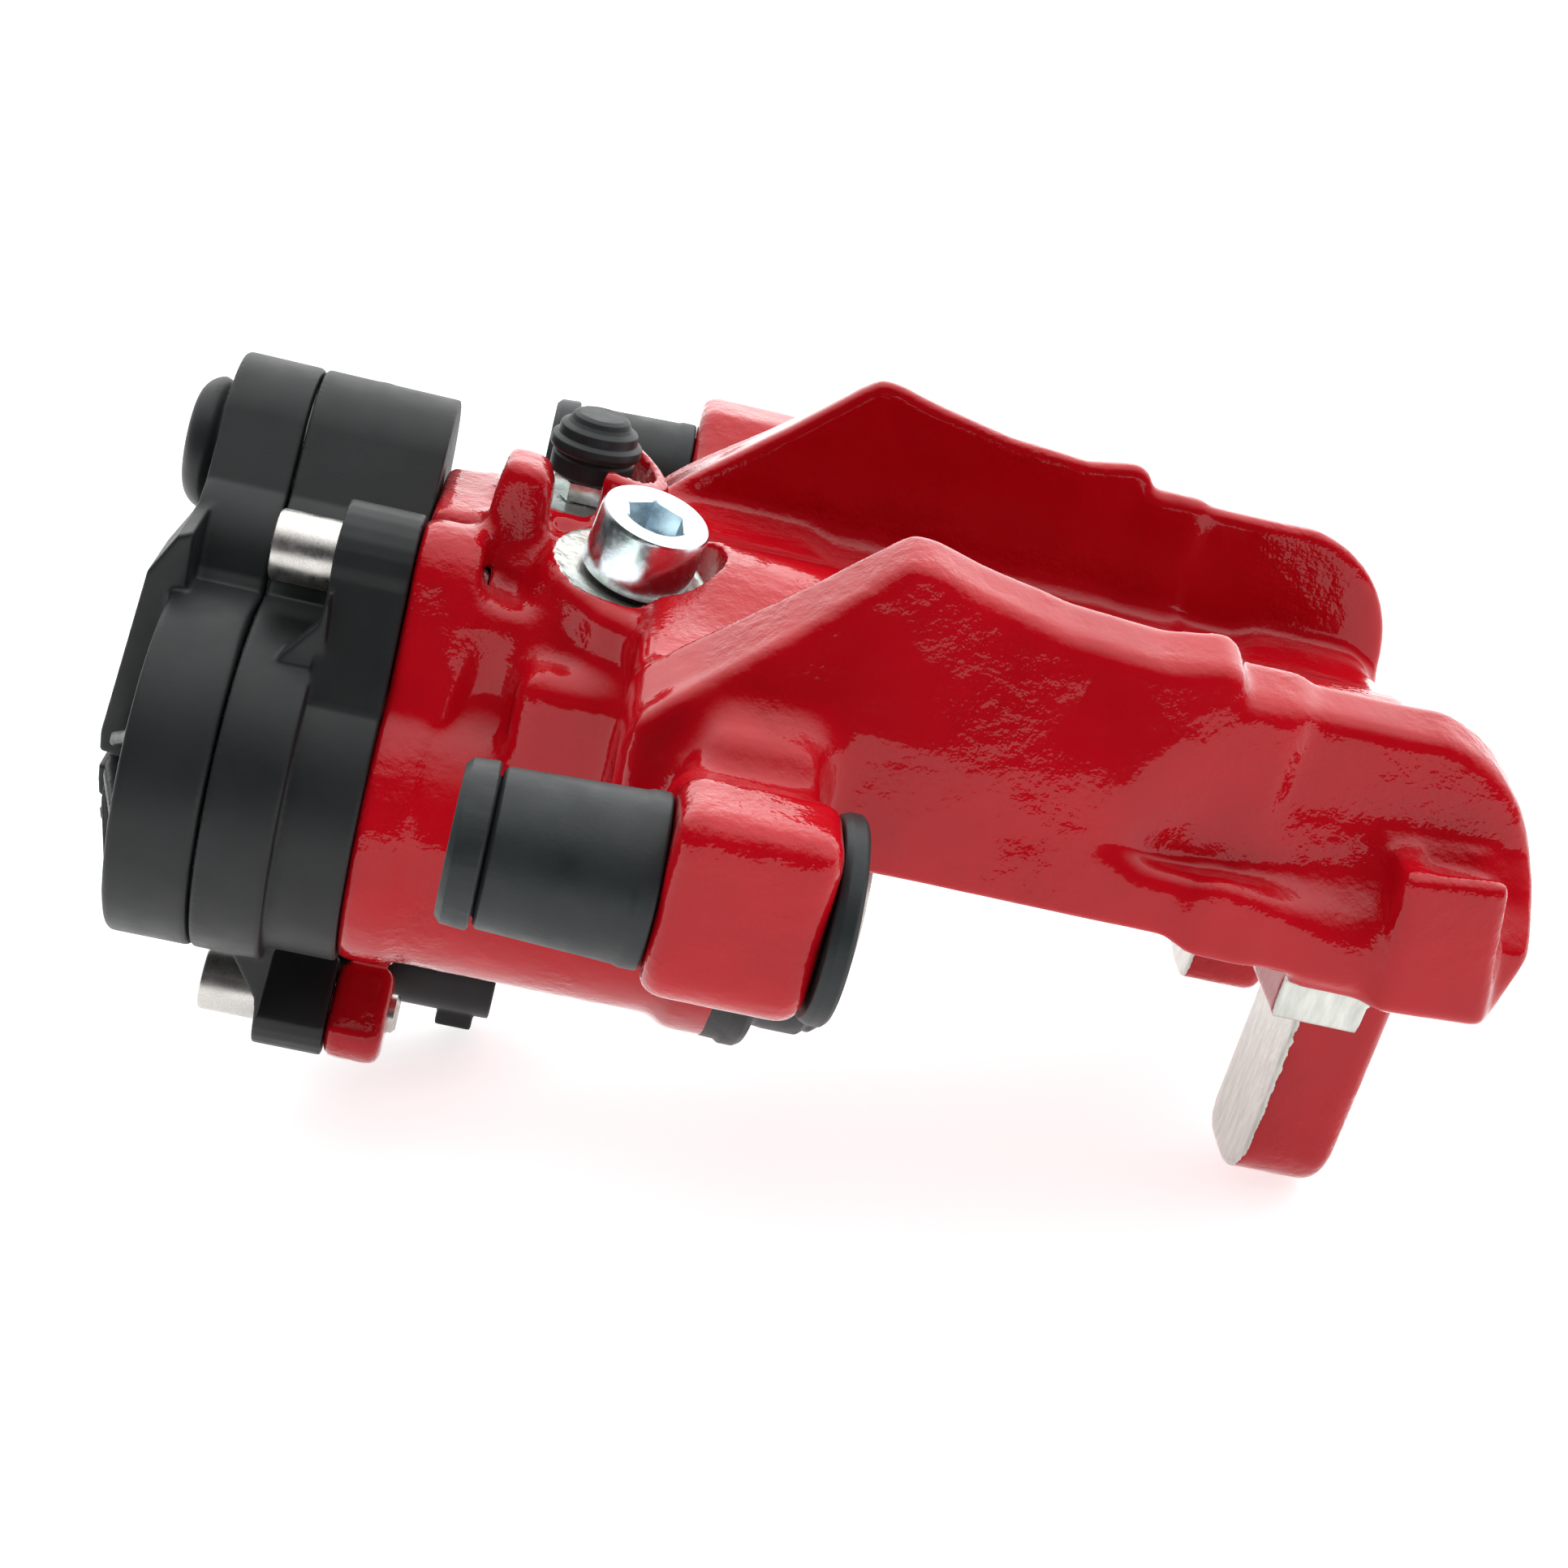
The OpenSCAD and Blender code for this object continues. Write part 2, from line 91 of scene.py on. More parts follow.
SCREW_HEAD_H = 9.2
SCREW_Z = (box_mm("actuator_screws")[1][2] - box_mm("actuator_screws")[0][2]) / 2 - SCREW_HEAD_R

# ---- sizes of the visual shapes ----

BARREL_R = 23.4  # outside of the cylinder
BARREL_END = 58  # the cylinder's open end
BORE_R = 18.05  # the piston's bore
BORE_FLOOR = 14
BUSH_END = 23.2  # from the ear's first face to the far end of its guide bush
BUSH_NECK_R = 8.25  # neck that carries the guide's cap
EAR_HOLE_R = 8.25
TUNNEL_TOP = 38.2  # round space for the disc and pads, under the bridge
TUNNEL_R = 150
ARM_IN = 34.3  # inner wall of the bridge's arms
FACE_TOP = 21.5  # top of the machined face on the fingers
SPOT_R = 11.4  # spot face under the hose port's plug
RECESS_R = 9.8  # recess round the bleeder

# ---- signed distance fields ----

# A shape is its lowest corner, its highest corner and a distance function, negative inside.

FAR = 12.0  # distance stored where there is nothing near
MARGIN = 8.0  # how far round a shape's box the field is worked out


def round_min(a, b, r):
    """Union of two fields, with a fillet of radius r where they meet."""
    if r <= 0:
        return np.minimum(a, b)
    u = np.maximum(r - a, 0)
    v = np.maximum(r - b, 0)
    return np.maximum(r, np.minimum(a, b)) - np.sqrt(u * u + v * v)


def round_max(a, b, r):
    """Intersection of two fields, with edges of radius r."""
    return -round_min(-a, -b, r)


def slab(t, low, high):
    """Signed distance from the space between two parallel planes."""
    return np.abs(t - (low + high) / 2) - (high - low) / 2


def outline_distance(points, u, v):
    """Signed distance from (u, v) to a closed outline, negative inside."""
    best = np.full(np.broadcast(u, v).shape, 1e9, np.float32)
    inside = np.zeros(best.shape, bool)
    for (x0, y0), (x1, y1) in zip(points, points[1:] + points[:1]):
        ex, ey = x1 - x0, y1 - y0
        if ex == 0 and ey == 0:
            continue
        wx, wy = u - x0, v - y0
        t = np.clip((wx * ex + wy * ey) / (ex * ex + ey * ey), 0, 1)
        best = np.minimum(best, (wx - ex * t) ** 2 + (wy - ey * t) ** 2)
        crosses = (y0 > v) != (y1 > v)
        if y1 != y0:
            inside ^= crosses & (u < (x1 - x0) * (v - y0) / (y1 - y0) + x0)
    return np.where(inside, -1, 1) * np.sqrt(best)


def arc(cu, cv, r, start, end, count=8):
    """Points on an arc, from one angle to another in degrees."""
    angles = np.radians(np.linspace(start, end, count))
    return [(cu + r * math.cos(a), cv + r * math.sin(a)) for a in angles]


def block(low, high, edge=1.0):
    """A box with rounded edges."""
    low, high = np.array(low, float), np.array(high, float)
    mid, half = (low + high) / 2, (high - low) / 2 - edge

    def distance(x, y, z):
        q = [np.abs(p - m) - h for p, m, h in zip((x, y, z), mid, half)]
        out = np.sqrt(sum(np.maximum(a, 0) ** 2 for a in q))
        return out + np.minimum(np.maximum(np.maximum(q[0], q[1]), q[2]), 0) - edge

    return low, high, distance


def rod_x(r, x0, x1, y=0.0, z=0.0, edge=0.5):
    """A round bar along X."""

    def distance(px, py, pz):
        around = np.sqrt((py - y) ** 2 + (pz - z) ** 2) - r
        return round_max(around, slab(px, x0, x1), edge)

    return (x0, y - r, z - r), (x1, y + r, z + r), distance


def rod(r, start, axis, length, edge=0.5):
    """A round bar from a point along any axis."""
    start, axis = np.array(start, float), np.array(axis, float) / np.linalg.norm(axis)
    end = start + axis * length

    def distance(x, y, z):
        rel = (x - start[0], y - start[1], z - start[2])
        along = sum(a * p for a, p in zip(axis, rel))
        square = sum(p * p for p in rel) - along * along
        return round_max(np.sqrt(np.maximum(square, 0)) - r, slab(along, 0, length), edge)

    return np.minimum(start, end) - r, np.maximum(start, end) + r, distance


def plate_x(points, x0, x1, edge=0.5):
    """An outline in the Y-Z plane, extruded along X."""
    ys, zs = [p[0] for p in points], [p[1] for p in points]

    def distance(x, y, z):
        return round_max(outline_distance(points, y, z), slab(x, x0, x1), edge)

    return (x0, min(ys), min(zs)), (x1, max(ys), max(zs)), distance


def plate_y(points, y0, y1, edge=0.5):
    """An outline in the X-Z plane, extruded along Y."""
    xs, zs = [p[0] for p in points], [p[1] for p in points]

    def distance(x, y, z):
        return round_max(outline_distance(points, x, z), slab(y, y0, y1), edge)

    return (min(xs), y0, min(zs)), (max(xs), y1, max(zs)), distance


def plate_z(points, z0, z1, edge=0.5):
    """An outline in the X-Y plane, extruded along Z."""
    xs, ys = [p[0] for p in points], [p[1] for p in points]

    def distance(x, y, z):
        return round_max(outline_distance(points, x, y), slab(z, z0, z1), edge)

    return (min(xs), min(ys), z0), (max(xs), max(ys), z1), distance


def crossed(profile, section, low, high, edge):
    """What an outline seen along Y and one seen along X have in common."""

    def distance(x, y, z):
        return round_max(outline_distance(profile, x, z), outline_distance(section, y, z), edge)

    return low, high, distance


def both(shape):
    """The same shape on the +Y and the -Y side."""
    low, high, distance = shape
    reach = max(abs(low[1]), abs(high[1]))
    low, high = (low[0], -reach, low[2]), (high[0], reach, high[2])
    return low, high, lambda x, y, z: distance(x, np.abs(y), z)


def turned_x(shape, angle):
    """A shape turned about the cylinder's axis, by an angle in degrees from +Y to +Z."""
    low, high, distance = shape
    c, s = math.cos(math.radians(angle)), math.sin(math.radians(angle))
    reach = math.hypot(max(abs(low[1]), abs(high[1])), max(abs(low[2]), abs(high[2])))

    def turned_distance(x, y, z):
        return distance(x, c * y + s * z, c * z - s * y)

    return (low[0], -reach, -reach), (high[0], reach, reach), turned_distance


class Solid:
    """A solid as a signed distance field on a regular grid, in millimetres."""

    def __init__(self, low, high, step):
        self.low, self.step = np.array(low, float), step
        counts = [int(round((h - l) / step)) + 1 for l, h in zip(low, high)]
        self.axes = [np.float32(l + step * np.arange(n)) for l, n in zip(low, counts)]
        self.field = np.full(counts, FAR, np.float32)

    def near(self, low, high):
        """The part of the grid round a box, as slices and coordinates."""
        cuts = []
        for axis, l, h in zip(self.axes, low, high):
            first, last = np.searchsorted(axis, (l - MARGIN, h + MARGIN))
            cuts.append(slice(int(first), int(last)))
        x = self.axes[0][cuts[0]][:, None, None]
        y = self.axes[1][cuts[1]][None, :, None]
        z = self.axes[2][cuts[2]][None, None, :]
        return tuple(cuts), x, y, z

    def add(self, shape, fillet):
        """Joins a shape to the solid, with a fillet of the given radius."""
        low, high, distance = shape
        where, x, y, z = self.near(low, high)
        self.field[where] = round_min(self.field[where], distance(x, y, z), fillet)

    def cut(self, shape, edge):
        """Takes a shape out of the solid and rounds the edges that this makes."""
        low, high, distance = shape
        where, x, y, z = self.near(low, high)
        self.field[where] = round_max(self.field[where], -distance(x, y, z), edge)

    def soften(self, sigma):
        """Rounds every edge and corner, as a casting has them."""
        self.field = np.clip(self.field, -FAR / 2, FAR / 2)
        width = int(math.ceil(2.5 * sigma / self.step))
        taps = np.exp(-0.5 * (np.arange(-width, width + 1) * self.step / sigma) ** 2)
        taps /= taps.sum()
        for axis in range(3):
            total = np.zeros_like(self.field)
            for offset, tap in zip(range(-width, width + 1), taps):
                total += np.float32(tap) * np.roll(self.field, offset, axis)
            self.field = total

    def roughen(self, depth, size, seed):
        """Adds the slow waviness of a sand casting; size is the distance between waves."""
        rng = np.random.default_rng(seed)
        weights = []
        counts = []
        for axis in self.axes:
            t = (axis - axis[0]) / size
            n = int(t[-1]) + 3
            w = np.zeros((len(axis), n), np.float32)
            i = t.astype(int)
            f = t - i
            f = f * f * (3 - 2 * f)
            w[np.arange(len(axis)), i] = 1 - f
            w[np.arange(len(axis)), i + 1] = f
            weights.append(w)
            counts.append(n)
        grid = rng.uniform(-depth, depth, counts).astype(np.float32)
        for axis in range(3):
            grid = np.moveaxis(np.tensordot(weights[axis], grid, (1, axis)), 0, axis)
        self.field += grid

    def mesh(self, name):
        """Makes an object of the surface; also returns its points in millimetres."""
        grid = openvdb.FloatGrid(background=FAR)
        grid.copyFromArray(np.ascontiguousarray(self.field))
        grid.transform = openvdb.createLinearTransform(voxelSize=1.0)
        points, triangles, quads = grid.convertToPolygons(isovalue=0.0, adaptivity=0.0)
        points = points * self.step + self.low
        faces = [list(map(int, f[::-1])) for group in (quads, triangles) for f in group]
        mesh = bpy.data.meshes.new(name)
        mesh.from_pydata((points * MM + [FACE_X, 0, 0]).tolist(), [], faces)
        mesh.update()
        mesh.shade_smooth()
        obj = bpy.data.objects.new(name, mesh)
        bpy.context.collection.objects.link(obj)
        return obj, points


# ---- node materials ----


class Shader:
    """Builds one procedural material around a Principled shader."""

    def __init__(self, name, **values):
        self.material = bpy.data.materials.new(name)
        self.material.use_nodes = True
        self.tree = self.material.node_tree
        self.surface = self.tree.nodes["Principled BSDF"]
        for key, value in values.items():
            self.surface.inputs[key.replace("_", " ")].default_value = value
        coords = self.tree.nodes.new("ShaderNodeTexCoord")
        self.place = coords.outputs["Object"]

    def node(self, kind, **values):
        node = self.tree.nodes.new(kind)
        for key, value in values.items():
            if key in node.inputs:
                node.inputs[key].default_value = value
            else:
                setattr(node, key, value)
        return node

    def link(self, source, target):
        self.tree.links.new(source, target)

    def noise(self, size_mm, detail=3.0, roughness=0.5, stretch=None):
        """Noise whose features are size_mm across."""
        node = self.node(
            "ShaderNodeTexNoise", Scale=1 / (size_mm * MM), Detail=detail, Roughness=roughness)
        source = self.place
        if stretch:
            mapping = self.node("ShaderNodeMapping")
            mapping.inputs["Scale"].default_value = stretch
            self.link(self.place, mapping.inputs["Vector"])
            source = mapping.outputs["Vector"]
        self.link(source, node.inputs["Vector"])
        return node.outputs["Fac"]

    def ramp(self, source, *stops):
        """A colour ramp; stops are (place, colour or grey)."""
        node = self.node("ShaderNodeValToRGB")
        ramp = node.color_ramp
        while len(ramp.elements) < len(stops):
            ramp.elements.new(0.5)
        for element, (place, colour) in zip(ramp.elements, stops):
            element.position = place
            rgb = (colour,) * 3 if isinstance(colour, float) else tuple(colour)
            element.color = rgb + (1,)
        self.link(source, node.inputs["Fac"])
        return node.outputs["Color"]

    def maths(self, operation, a, b):
        node = self.node("ShaderNodeMath", operation=operation)
        for socket, value in zip(node.inputs, (a, b)):
            if isinstance(value, (int, float)):
                socket.default_value = value
            else:
                self.link(value, socket)
        return node.outputs[0]

    def mix(self, factor, a, b):
        node = self.node("ShaderNodeMix", data_type="RGBA")
        for socket, value in ((node.inputs[0], factor), (node.inputs[6], a), (node.inputs[7], b)):
            if isinstance(value, tuple):
                socket.default_value = value + (1,)
            elif isinstance(value, (int, float)):
                socket.default_value = value
            else:
                self.link(value, socket)
        return node.outputs[2]

    def bump(self, height, depth_mm, after=None):
        node = self.node("ShaderNodeBump", Strength=1.0, Distance=depth_mm * MM)
        self.link(height, node.inputs["Height"])
        if after:
            self.link(after, node.inputs["Normal"])
        return node.outputs["Normal"]

    def to(self, source, socket):
        self.link(source, self.surface.inputs[socket])


def red_paint():
    """Thick glossy paint over a rough casting; the BARE attribute marks machined faces."""
    s = Shader(
        "red_paint", Coat_Weight=1.0, Coat_Roughness=0.06, Coat_IOR=1.33, Specular_IOR_Level=0.04)
    bare = s.node("ShaderNodeAttribute", attribute_name="bare_mm").outputs["Fac"]
    ragged = s.maths("MULTIPLY", s.noise(1.6, 4), 0.9)
    metal = s.ramp(s.maths("SUBTRACT", bare, ragged), (0.0, 1.0), (0.06, 0.0))
    paint = s.ramp(s.noise(14, 3), (0.3, (0.39, 0.0016, 0.0065)), (0.7, (0.46, 0.0026, 0.0090)))
    lines = s.noise(1.2, 4, 0.6, (1, 1, 0.25))
    grain = s.ramp(lines, (0.3, (0.42, 0.43, 0.4)), (0.7, (0.6, 0.61, 0.57)))
    s.to(s.mix(metal, paint, grain), "Base Color")
    s.to(metal, "Metallic")
    s.to(s.ramp(metal, (0.0, 0.22), (1.0, 0.42)), "Roughness")
    patches = s.ramp(s.noise(18, 2), (0.44, 0.12), (0.6, 1.0))
    pits = s.maths("MULTIPLY", s.noise(2.6, 3, 0.6), patches)
    dimples = s.bump(pits, 0.34)
    peel = s.bump(s.noise(1.0, 2), 0.03, dimples)
    s.to(peel, "Normal")
    s.to(peel, "Coat Normal")
    return s.material


def steel(name, colour, roughness):
    """Bare metal with fine streaks, in any colour."""
    s = Shader(name, Metallic=1.0)
    streaks = s.noise(0.25, 3, 0.6, (1, 0.15, 1))
    dark = tuple(c * 0.72 for c in colour)
    s.to(s.ramp(streaks, (0.3, dark), (0.7, colour)), "Base Color")
    s.to(s.ramp(s.noise(2.0, 4), (0.3, roughness * 0.8), (0.7, roughness * 1.3)), "Roughness")
    s.to(s.bump(streaks, 0.012), "Normal")
    return s.material


def zinc():
    """Zinc plating, passivated to a faint blue and green."""
    s = Shader("zinc", Metallic=1.0)
    tint = s.noise(5, 3)
    blue, pale, green = (0.55, 0.66, 0.74), (0.72, 0.8, 0.84), (0.62, 0.78, 0.74)
    s.to(s.ramp(tint, (0.25, blue), (0.5, pale), (0.75, green)), "Base Color")
    s.to(s.ramp(s.noise(1.5, 3), (0.3, 0.16), (0.7, 0.3)), "Roughness")
    s.to(s.bump(s.noise(0.5, 3), 0.01), "Normal")
    return s.material


def rubber():
    """Moulded black rubber."""
    s = Shader("rubber", Specular_IOR_Level=0.3)
    dark, light = (0.011, 0.015, 0.016), (0.019, 0.024, 0.025)
    s.to(s.ramp(s.noise(9, 4), (0.3, dark), (0.7, light)), "Base Color")
    s.to(s.ramp(s.noise(4, 3), (0.3, 0.38), (0.7, 0.52)), "Roughness")
    s.to(s.bump(s.noise(0.6, 4), 0.03), "Normal")
    return s.material


def black_plastic():
    """Glass-filled plastic of the actuator's case."""
    s = Shader("black_plastic", Specular_IOR_Level=0.3)
    dark, light = (0.009, 0.010, 0.011), (0.013, 0.015, 0.016)
    s.to(s.ramp(s.noise(12, 4), (0.3, dark), (0.7, light)), "Base Color")
    s.to(s.ramp(s.noise(5, 4), (0.3, 0.40), (0.7, 0.50)), "Roughness")
    s.to(s.bump(s.noise(0.35, 3), 0.012), "Normal")
    return s.material


def gear_plastic():
    """Natural-coloured plastic of the gears."""
    s = Shader("gear_plastic", Subsurface_Weight=0.1)
    s.to(s.ramp(s.noise(6, 3), (0.3, (0.62, 0.6, 0.52)), (0.7, (0.72, 0.7, 0.62))), "Base Color")
    s.to(s.ramp(s.noise(2, 3), (0.3, 0.35), (0.7, 0.5)), "Roughness")
    s.to(s.bump(s.noise(0.4, 2), 0.01), "Normal")
    return s.material


def floor_paper():
    """Back-lit white paper, bright enough to leave only a faint shadow."""
    s = Shader("floor_paper", Roughness=0.8, Specular_IOR_Level=0.1)
    s.to(s.ramp(s.noise(40, 2), (0.3, (0.60, 0.60, 0.60)), (0.7, (0.62, 0.62, 0.62))), "Base Color")
    s.surface.inputs["Emission Color"].default_value = (1, 1, 1, 1)
    s.surface.inputs["Emission Strength"].default_value = 0.74
    return s.material


PAINTS = {
    "red_paint": red_paint(),
    "steel": steel("steel", (0.62, 0.6, 0.57), 0.3),
    "zinc": zinc(),
    "dark_steel": steel("dark_steel", (0.3, 0.3, 0.31), 0.35),
    "rubber": rubber(),
    "black_plastic": black_plastic(),
    "gear_plastic": gear_plastic(),
    "contact_metal": steel("contact_metal", (0.75, 0.58, 0.3), 0.25),
}


def finish_piece(obj, slot, body, *nodes):
    """Gives a piece its material and its body, and hides the CAD nodes that it stands for."""
    obj.data.materials.clear()
    obj.data.materials.append(PAINTS[slot])
    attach(obj, body)
    if nodes:
        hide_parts(*nodes)


# ---- the red casting ----

ARM_PROFILE = (
    [(33, 18), (33, 45), (36.5, 48.6), (50, 60.0), (59.4, 68.6), (62.2, 70.9), (65.2, 70.8),
     (72, 69.0), (84.4, 66.7), (97, 65.9), (102.4, 66.9), (105.2, 67.4), (106.8, 66.4),
     (108.2, 63.2), (130, 63.4)]
    + arc(132.6, 43.0, 21.0, 80, -8, 12)
    + [(151.5, 32), (149.5, 27), (149.5, 18)]
)
ARM_SECTION = [
    (30, 18), (ARM_IN, 44), (ARM_IN, 76), (43.6, 76), (43.6, 69), (45.4, 62), (48.6, 50),
    (51.2, 37), (52, 31), (52, 18)]
END_SECTION = [
    (20, 27), (ARM_IN, 44), (ARM_IN, 76), (43.2, 76), (43.2, 62), (44.8, 52), (48, 46),
    (52.4, 41), (53, 34), (53, 27)]
TOP_LEAN = 0.22


def leaning(distance):
    """Lets the tops of the arms fall away towards the outside."""
    return lambda x, y, z: distance(x, y, z + TOP_LEAN * np.clip(np.abs(y) - 35, 0, 9))


def underside(x, y, z):
    """Positive inside the round space for the disc and pads."""
    return TUNNEL_R - np.sqrt(y * y + (z - TUNNEL_TOP + TUNNEL_R) ** 2)


def bridge_arms():
    """The two bars over the disc, from the ears to the outboard end."""
    low, high, distance = crossed(ARM_PROFILE, ARM_SECTION, (33, 30, 20), (114, 52, 70), 1.2)
    distance = leaning(distance)

    def trimmed(x, y, z):
        return round_max(round_max(distance(x, y, z), x - 116, 0), underside(x, y, z), 2.0)

    return both((low, high, trimmed))


def bridge_end():
    """The wider ends of the two bars, above the fingers."""
    low, high, distance = crossed(ARM_PROFILE, END_SECTION, (104, 20, 20), (153.6, 53, 66), 1.6)
    distance = leaning(distance)

    def trimmed(x, y, z):
        return round_max(round_max(distance(x, y, z), 108 - x, 2.0), 27.4 - z, 1.0)

    return both((low, high, trimmed))


def outer_pocket():
    """Hollow above the outer rail, whose floor twists from level to falling outwards."""

    def distance(x, y, z):
        w = np.abs(y)
        crease = np.interp(x, (100.8, 113, 130.3), (37.0, 38.2, 42.4))
        lip = np.interp(x, (99.6, 111.6, 129.3), (38.9, 40.0, 38.6))
        level = crease + (lip - crease) * np.clip((w - 46) / 4, 0, 2)
        left = (96.5 + 0.42 * (z - 39) - x) * 0.45
        return round_max(round_max(round_max(level - z, 46 - w, 2.5), x - 131, 2.5), left, 5)

    return both(((97, 46, 35), (131, 70, 72), distance))


def bridge_floor():
    """The curved plate between the bars."""

    def distance(x, y, z):
        skin = np.sqrt(y * y + (z - TUNNEL_TOP + TUNNEL_R) ** 2) - TUNNEL_R
        plate = np.maximum(-skin, skin - 8)
        return round_max(plate, np.maximum(slab(x, 34, 151), np.abs(y) - 46), 1.5)

    return (34, -46, 22), (151, 46, 48), distance


def end_rail():
    """The machined step and the thick root of the fingers under the outboard end."""
    return block((FINGER_X - 10.2, -51.5, 20), (FINGER_X + 2.2, 51.5, 40), 0.8)


def finger(side, tip):
    """One finger; side is its sign of Y and tip its lowest height."""
    outline = (
        [(16, 44), (16, tip + 3.5)] + arc(19.5, tip + 3.5, 3.5, 180, 270, 4)
        + arc(25.5, tip + 9, 9, 270, 360, 8) + [(34.5, 44)])
    return plate_x([(side * u, v) for u, v in outline], FINGER_X - 4, FINGER_X + 13.5, 2.5)


LUG_R = 8.6


def flange_outline(side, widen):
    """Lug round a fixing screw, spreading to the drum."""
    start, end = (180, 0) if side > 0 else (360, 180)
    points = arc(0, side * SCREW_Z, LUG_R, start, end, 14)
    return points + [(widen, side * 20), (-widen, side * 20)]


FINGER_TIPS = {-1: -16, 1: -11}  # lowest heights; the far finger is shorter
DECK = [(7, 34), (7, 13), (11, 9), (19, -4), (27, -14), (34, -17), (58, -17), (58, 34)]
EAR = (
    [(57, 26), (62, 23)] + arc(GUIDE_Y + 4.4, 30.2, 7.2, 270, 360, 6)
    + arc(GUIDE_Y + 8.1, 45.4, 3.5, 0, 90, 4) + [(GUIDE_Y - 0.5, 48.9), (62, 42.5), (57, 41)]
)


def disc_space():
    """The space for the disc and pads, between the cylinder and the fingers."""

    def distance(x, y, z):
        return round_max(-underside(x, y, z), slab(x, BARREL_END, FINGER_X), 1)

    return (30, -46, -130), (FINGER_X, 46, TUNNEL_TOP), distance


def bleeder_wall():
    """Thin wall standing round the outboard side of the bleeder's spot face."""
    post = rod(12.4, BLEEDER - [0, 0, 4], (0, 0, 1), 13.5, 1)[2]

    def distance(x, y, z):
        slope = 0.94 * (z - 54.4) + 0.35 * (x - 21.5)
        return round_max(post(x, y, z), np.maximum(BLEEDER[0] + 2 - x, slope), 1)

    low = (BLEEDER[0] + 1, BLEEDER[1] - 13, BLEEDER[2] - 4)
    return low, BLEEDER + [13, 13, 10], distance


def cast_body():
    """Builds the casting as a field: rounded cast lumps first, then sharp machined cuts."""
    body = Solid((-3, -90, -48), (157, 90, 74), 0.6)
    body.add(rod_x(BARREL_R, 0, BARREL_END, edge=1.0), 0)
    body.add(rod_x(24.2, 0, 7, edge=1.0), 1.5)
    body.add(rod_x(24.6, 49, BARREL_END, edge=1.0), 3)
    body.add(plate_x(flange_outline(1, 13.5), 0, 9.4, 1.5), 1.2)
    body.add(plate_x(flange_outline(-1, 9), 0, 9, 1.5), 2.5)
    body.add(bridge_floor(), 3)
    body.add(bridge_arms(), 5)
    body.add(bridge_end(), 3)
    body.add(rod_x(22, 40, 148, 0, 28, 2), 5)
    body.cut(disc_space(), 1.5)
    body.add(end_rail(), 1.5)
    body.add(block((FINGER_X - 4, -46, 26), (149.5, 46, 44), 2), 2)
    body.cut(outer_pocket(), 3)
    body.cut(both(block((126, 46, 49.5), (160, 70, 80), 1)), 2.5)
    heel = [(132, 47.7), (145.7, 49.3), (150, 28.6), (134.6, 27.4)]
    body.add(both(plate_y(heel, 43, 55.2, 1.2)), 1.5)
    for side, tip in FINGER_TIPS.items():
        body.add(finger(side, tip), 4)
    body.cut(both(block((136.5, 46.5, 46.4), (147, 51.5, 60), 1.2)), 1.5)
    # Body between the cylinder and the bridge.
    body.add(plate_z(DECK, 10, 42.6, 2), 3)
    body.add(block((33, -34, 15), (58, 34, 44), 3), 4)
    body.add(block((17.7, -19, 6), (43, 10, 33), 4), 3.5)
    body.add(plate_z([(4, 30), (4, -4), (10, -9), (22, -9), (22, 30)], 10, 37.2, 3), 4)
    body.add(rod(12.4, PORT - PORT_AXIS * 22, PORT_AXIS, 22.5, 1), 3.5)
    body.add(rod(12.6, (BLEEDER[0], BLEEDER[1], 18), (0, 0, 1), BLEEDER[2] - 18 + 0.3, 1), 3)
    stop = [(7.4, 24), (8.6, 50), (9.6, 55.2), (15.4, 54.6), (16.8, 51.5), (17.4, 24)]
    body.add(plate_y(stop, 2, 12.5, 2.0), 3)
    body.add(block((11, 0, 24), (19, 14, 42), 3), 3)
    body.add(block((0, 10, 18), (9, 33, 43), 2), 3)
    # Ears, joined to the bridge by lower webs.
    ear_x = box_mm("guide_bush_far")[1][0] - BUSH_END
    body.add(both(plate_x(EAR, ear_x, ear_x + 19.4, 2.6)), 2)
    body.add(both(block((ear_x + 1.5, 24, 22.5), (ear_x + 18.5, GUIDE_Y - 8, 41), 3)), 4)
    body.add(both(block((41.5, 44, 36), (57, 56, 46.6), 4)), 4)
    body.add(bleeder_wall(), 1)
    body.soften(0.8)
    body.roughen(0.06, 7.0, 11)
    body.roughen(0.03, 2.4, 12)
    machined(body)
    return body


def machined(body):
    """Bores, spot faces and pad faces, cut after the casting is rounded."""
    body.cut(rod(SPOT_R, PORT, PORT_AXIS, 16, 0.1), 0.1)
    body.cut(rod(RECESS_R, BLEEDER, (0, 0, 1), 20, 0.1), 0.1)
    for side in (-1, 1):
        body.cut(rod_x(EAR_HOLE_R, 0, 120, side * GUIDE_Y, GUIDE_Z, 0.1), 0.4)
        body.cut(rod_x(3.3, -2, 10.5, 0, side * SCREW_Z, 0.1), 0.2)
    body.cut(block((FINGER_X - 30, -60, -30), (FINGER_X, 60, FACE_TOP), 0.05), 0.1)
    body.cut(both(block((FINGER_X - 12, 50, 12), (FINGER_X + 2.4, 70, 27.4), 0.1)), 0.1)
    body.cut(both(block((FINGER_X - 14, 37, 12), (FINGER_X + 14, 70, FACE_TOP), 0.1)), 0.1)
    body.cut(block((-5, -60, -60), (0, 60, 60), 0.05), 0.2)
    body.cut(rod_x(BORE_R, BORE_FLOOR, 90, edge=0.1), 0.3)
    body.cut(rod_x(6.05, -5, 30, edge=0.1), 0.2)
    body.cut(rod_x(14.9, -5, 5, edge=0.1), 0.3)
    body.cut(rod(5, PORT - PORT_AXIS * 28, PORT_AXIS, 30, 0.1), 0.2)
    body.cut(rod(3.6, BLEEDER - [0, 0, 14], (0, 0, 1), 16, 0.1), 0.2)


PAINTED = 6.0  # the highest distance that is stored


